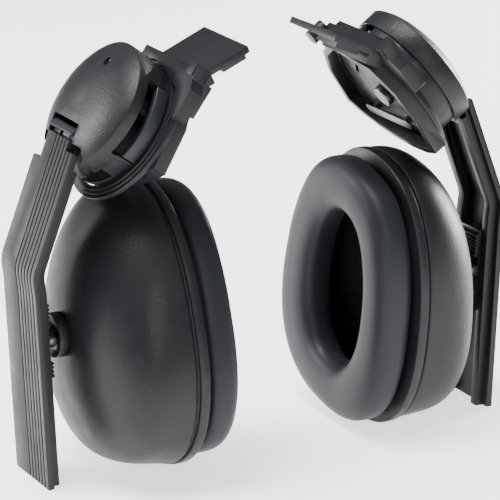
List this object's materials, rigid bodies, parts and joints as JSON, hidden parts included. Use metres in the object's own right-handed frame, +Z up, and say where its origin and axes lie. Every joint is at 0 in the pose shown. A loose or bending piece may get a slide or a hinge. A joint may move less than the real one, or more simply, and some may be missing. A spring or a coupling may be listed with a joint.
{
  "type": "pair of helmet-mounted earmuff hearing protectors",
  "caption": "Pair of ear defender cups on hinged, swinging arms with blades that plug into a hard hat's side slots.",
  "frame": {"origin": "the middle of the base: halfway between the two cups, on the level of the lowest points", "axes": "X across the head with the wearer's right at +X, +Y the way the wearer faces, Z up"},
  "size_m": [0.2086, 0.0968, 0.1687],
  "materials": {
    "satin_charcoal": "satin moulded",
    "grained_charcoal": "fine grain, satin",
    "grey_plate": "satin moulded",
    "slider_black": "satin moulded",
    "cushion_skin": "soft smooth skin over foam",
    "dark_foam": "open-cell foam",
    "steel": "blackened"
  },
  "bodies": {
    "left_adapter": {"left_adapter": "satin_charcoal", "left_base_bowl": "satin_charcoal", "left_base_plate": "grey_plate", "left_axle_pin": "steel", "left_axle_clip": "steel", "left_detent_strip": "steel"},
    "left_hub": {"left_rotor_drum": "satin_charcoal", "left_retaining_tab": "grey_plate", "left_hub_cover": "grained_charcoal", "left_cover_screw": "steel", "left_flip_pin": "steel", "left_flip_spring": "steel"},
    "left_arm": {"left_arm": "satin_charcoal", "left_arm_block": "grey_plate"},
    "left_slider": {"left_slider": "slider_black", "left_slider_catch": "steel", "left_pivot_pin": "steel"},
    "left_pivot": {"left_pivot_disc": "slider_black"},
    "left_cup": {"left_cup_boss": "grained_charcoal", "left_cup_shell": "grained_charcoal", "left_rim_ring": "grey_plate", "left_cushion": "cushion_skin", "left_foam_liner": "dark_foam"},
    "right_adapter": {"right_adapter": "satin_charcoal", "right_base_bowl": "satin_charcoal", "right_base_plate": "grey_plate", "right_axle_pin": "steel", "right_axle_clip": "steel", "right_detent_strip": "steel"},
    "right_hub": {"right_rotor_drum": "satin_charcoal", "right_retaining_tab": "grey_plate", "right_hub_cover": "grained_charcoal", "right_cover_screw": "steel", "right_flip_pin": "steel", "right_flip_spring": "steel"},
    "right_arm": {"right_arm": "satin_charcoal", "right_arm_block": "grey_plate"},
    "right_slider": {"right_slider": "slider_black", "right_slider_catch": "steel", "right_pivot_pin": "steel"},
    "right_pivot": {"right_pivot_disc": "slider_black"},
    "right_cup": {"right_cup_boss": "grained_charcoal", "right_cup_shell": "grained_charcoal", "right_rim_ring": "grey_plate", "right_cushion": "cushion_skin", "right_foam_liner": "dark_foam"}
  },
  "joints": [
    {"name": "pair_spread", "type": "slide", "parent": "left_adapter", "child": "right_adapter", "axis": [1, 0, 0], "range_m": [0, 0.09]},
    {"name": "left_hub_swing", "type": "hinge", "parent": "left_adapter", "child": "left_hub", "pos_m": [-0.05906, 0.001, 0.13659], "axis": [-0.809, 0, 0.5878], "range_deg": [-30, 30]},
    {"name": "left_arm_flip", "type": "hinge", "parent": "left_hub", "child": "left_arm", "pos_m": [-0.08012, 0.001, 0.13398], "axis": [0, 1, 0], "range_deg": [0, 20], "stiffness_Nm_per_rad": 1, "springref_deg": -28.65},
    {"name": "left_cup_slide", "type": "slide", "parent": "left_arm", "child": "left_slider", "axis": [0.0471, 0, -0.9989], "range_m": [-0.001, 0.03]},
    {"name": "left_cup_tilt", "type": "hinge", "parent": "left_slider", "child": "left_pivot", "pos_m": [-0.0939, 0, 0.05735], "axis": [0, -1, 0], "range_deg": [-6, 2]},
    {"name": "left_cup_roll", "type": "hinge", "parent": "left_pivot", "child": "left_cup", "pos_m": [-0.09, 0.0005, 0.057], "axis": [1, 0, 0], "range_deg": [-10, 10]},
    {"name": "right_hub_swing", "type": "hinge", "parent": "right_adapter", "child": "right_hub", "pos_m": [0.05906, 0.001, 0.13659], "axis": [0.809, 0, 0.5878], "range_deg": [-30, 30]},
    {"name": "right_arm_flip", "type": "hinge", "parent": "right_hub", "child": "right_arm", "pos_m": [0.08012, 0.001, 0.13398], "axis": [0, -1, 0], "range_deg": [0, 20], "stiffness_Nm_per_rad": 1, "springref_deg": -28.65},
    {"name": "right_cup_slide", "type": "slide", "parent": "right_arm", "child": "right_slider", "axis": [-0.0471, 0, -0.9989], "range_m": [-0.001, 0.03]},
    {"name": "right_cup_tilt", "type": "hinge", "parent": "right_slider", "child": "right_pivot", "pos_m": [0.0939, 0, 0.05735], "axis": [0, 1, 0], "range_deg": [-6, 2]},
    {"name": "right_cup_roll", "type": "hinge", "parent": "right_pivot", "child": "right_cup", "pos_m": [0.09, 0.0005, 0.057], "axis": [1, 0, 0], "range_deg": [-10, 10]}
  ]
}
